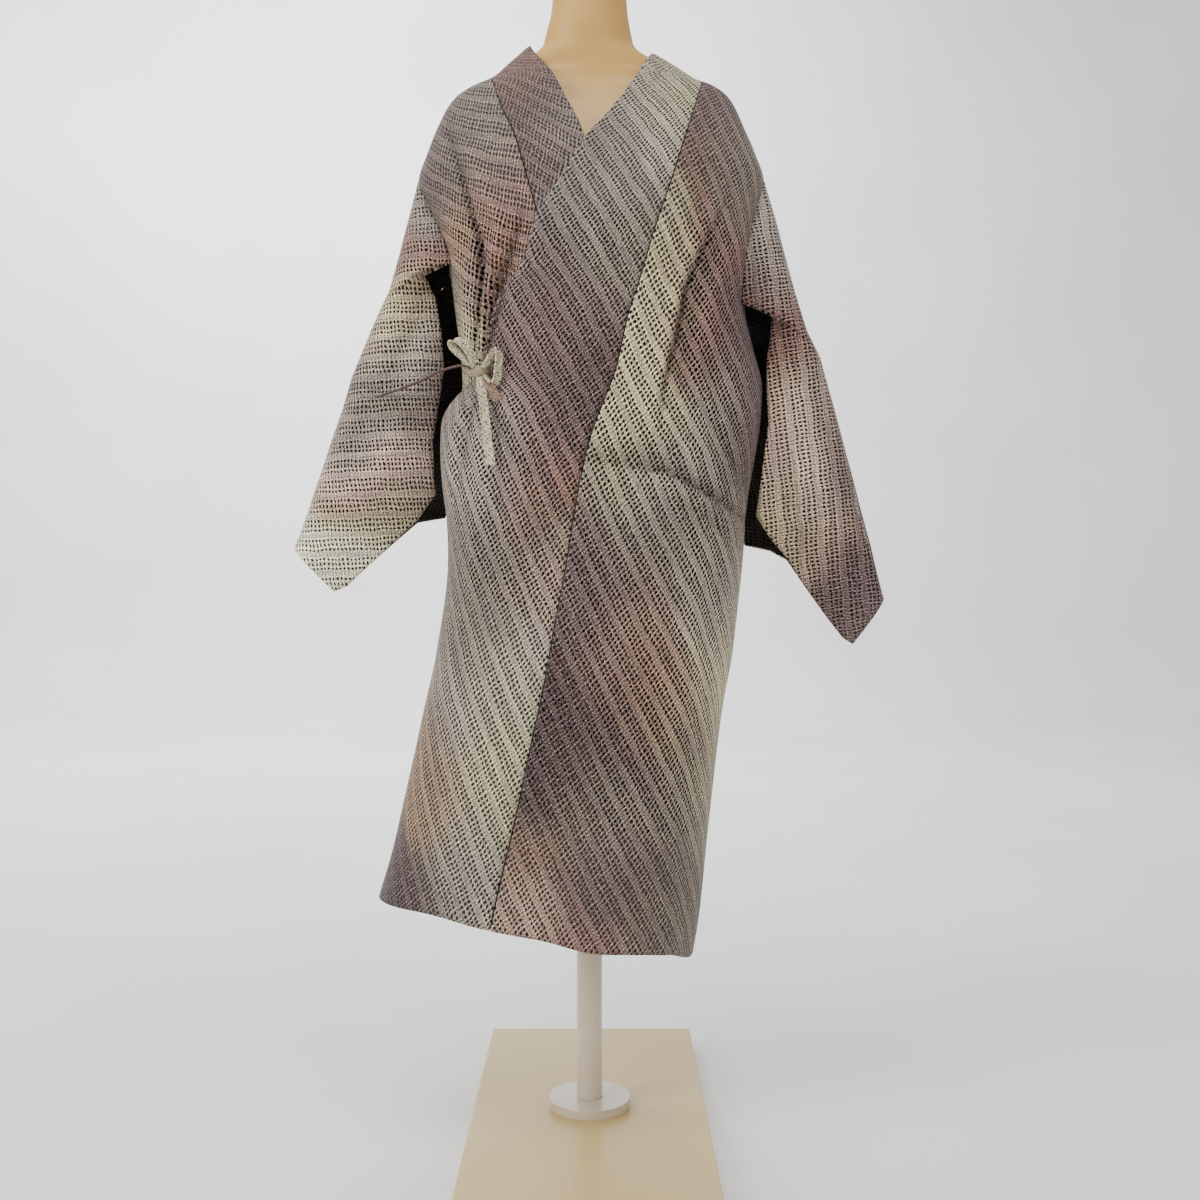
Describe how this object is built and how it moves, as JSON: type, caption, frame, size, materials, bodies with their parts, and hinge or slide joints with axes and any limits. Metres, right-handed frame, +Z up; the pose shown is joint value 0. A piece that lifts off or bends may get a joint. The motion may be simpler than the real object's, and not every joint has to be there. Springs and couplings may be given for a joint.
{
  "type": "kimono coat on a limbless dress form",
  "caption": "Open lattice-weave kimono coat, lapped left over right and tied at the waist, on a cream dress form with pole and flat base board.",
  "frame": {"origin": "floor point under the pole, on the underside of the base board", "axes": "+Z up, -Y towards the front of the coat, +X towards the wearer's left"},
  "size_m": [0.651, 0.5, 1.2724],
  "materials": {
    "cloth": "matte",
    "ribbon": "matte",
    "form": "satin",
    "pole": "satin",
    "board": "gloss"
  },
  "bodies": {
    "root": {"body_left": "cloth", "body_right": "cloth", "band_left": "cloth", "band_right": "cloth", "collar_back": "cloth", "sleeve_left": "cloth", "sleeve_right": "cloth", "tie_knot": "ribbon", "tie_loop_upper": "ribbon", "tie_loop_side": "ribbon", "tie_tail_long": "ribbon", "tie_tail_side": "ribbon", "form_torso": "form", "form_cap": "form", "form_pole": "pole", "pole_flange": "pole", "base_board": "board"}
  },
  "joints": []
}
